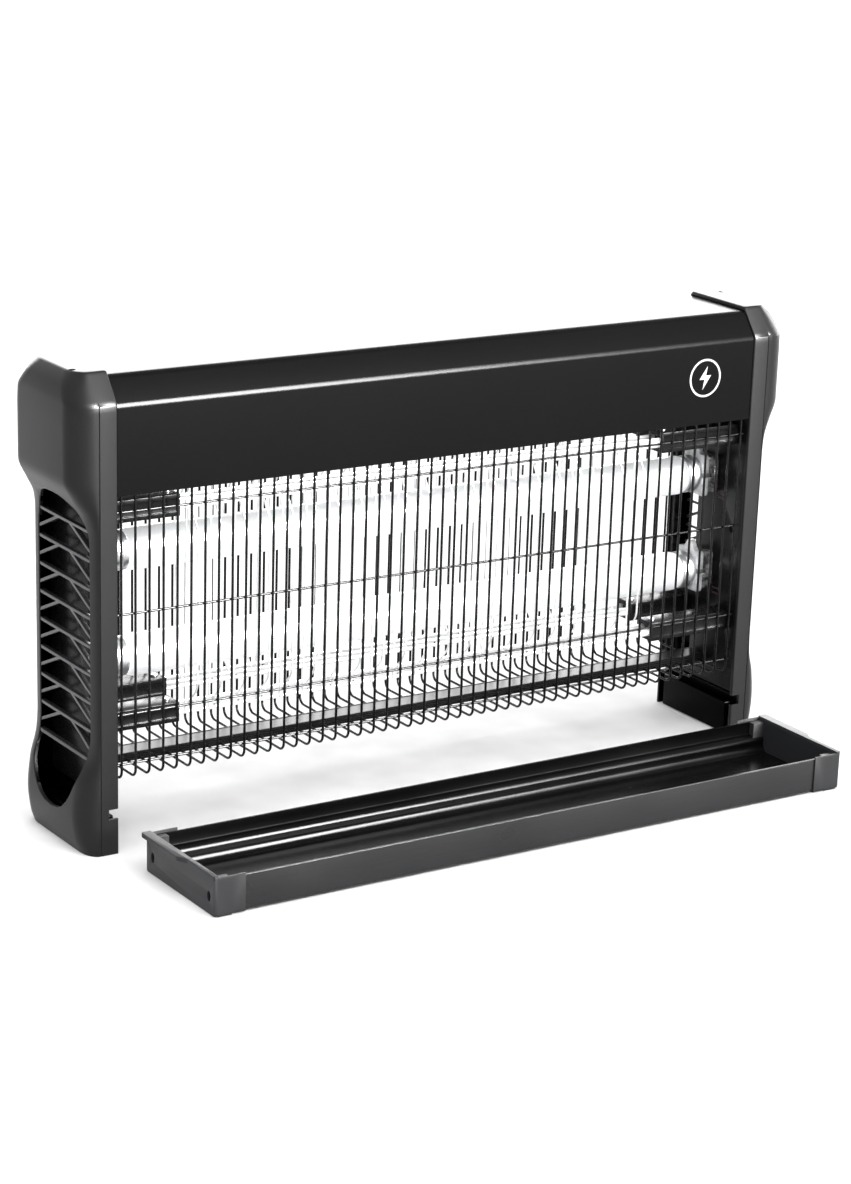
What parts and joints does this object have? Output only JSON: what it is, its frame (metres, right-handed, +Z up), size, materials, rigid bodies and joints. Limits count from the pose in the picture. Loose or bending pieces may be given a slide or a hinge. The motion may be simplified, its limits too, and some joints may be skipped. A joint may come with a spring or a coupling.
{
  "type": "electric insect killer",
  "caption": "Free-standing electric insect killer: guard grilles over a live wire grid and horizontal tubes, moulded end caps, chamfered cover and a drawn-out catch tray.",
  "frame": {"origin": "centre of the footprint at floor level, with the catch tray drawn out as at rest", "axes": "+X along the tubes towards the right end cap, +Y from the tray towards the back, +Z up"},
  "size_m": [0.519, 0.1994, 0.2915],
  "materials": {
    "arm_plastic": "moulded",
    "ballast_steel": "white lacquer",
    "cap_plastic": "fine satin grain",
    "cover_paint": "satin black powder coat",
    "deck_steel": "zinc coated",
    "grid_steel": "bright drawn wire",
    "grille_wire": "semi-gloss black coat",
    "holder_plastic": "clear-grey moulding",
    "inlet_plastic": "moulded",
    "module_plastic": "moulded",
    "rail_aluminium": "gloss black",
    "starter_plastic": "moulded",
    "tray_aluminium": "satin black",
    "tray_plastic": "moulded",
    "tube_cap_aluminium": "pressed bright",
    "tube_glass": "white phosphor coat inside"
  },
  "bodies": {
    "unit": {"arm_low_back_left": "arm_plastic", "arm_low_back_right": "arm_plastic", "arm_low_front_left": "arm_plastic", "arm_low_front_right": "arm_plastic", "arm_top_back_left": "arm_plastic", "arm_top_back_right": "arm_plastic", "arm_top_front_left": "arm_plastic", "arm_top_front_right": "arm_plastic", "ballast_left": "ballast_steel", "ballast_right": "ballast_steel", "bottom_rail": "rail_aluminium", "deck": "deck_steel", "end_cap_left": "cap_plastic", "end_cap_right": "cap_plastic", "grille_back": "grille_wire", "grille_front": "grille_wire", "holder_lower_left": "holder_plastic", "holder_lower_right": "holder_plastic", "holder_upper_left": "holder_plastic", "holder_upper_right": "holder_plastic", "hv_comb_back_a": "grid_steel", "hv_comb_back_b": "grid_steel", "hv_comb_front_a": "grid_steel", "hv_comb_front_b": "grid_steel", "hv_module": "module_plastic", "power_inlet": "inlet_plastic", "starter_back": "starter_plastic", "starter_front": "starter_plastic", "terminal_block": "module_plastic", "top_cover": "cover_paint"},
    "tray": {"tray_channel": "tray_aluminium", "tray_end_left": "tray_plastic", "tray_end_right": "tray_plastic"},
    "upper_tube": {"tube_upper": "tube_glass", "tube_upper_cap_left": "tube_cap_aluminium", "tube_upper_cap_right": "tube_cap_aluminium"},
    "lower_tube": {"tube_lower": "tube_glass", "tube_lower_cap_left": "tube_cap_aluminium", "tube_lower_cap_right": "tube_cap_aluminium"}
  },
  "joints": [
    {"name": "tray_slide", "type": "slide", "parent": "unit", "child": "tray", "axis": [0, 1, 0], "range_m": [0, 0.1163]},
    {"name": "upper_tube_twist", "type": "hinge", "parent": "unit", "child": "upper_tube", "pos_m": [0, 0.05815, 0.1754], "axis": [1, 0, 0], "range_deg": [0, 90]},
    {"name": "lower_tube_twist", "type": "hinge", "parent": "unit", "child": "lower_tube", "pos_m": [0, 0.05815, 0.1091], "axis": [1, 0, 0], "range_deg": [0, 90]}
  ]
}
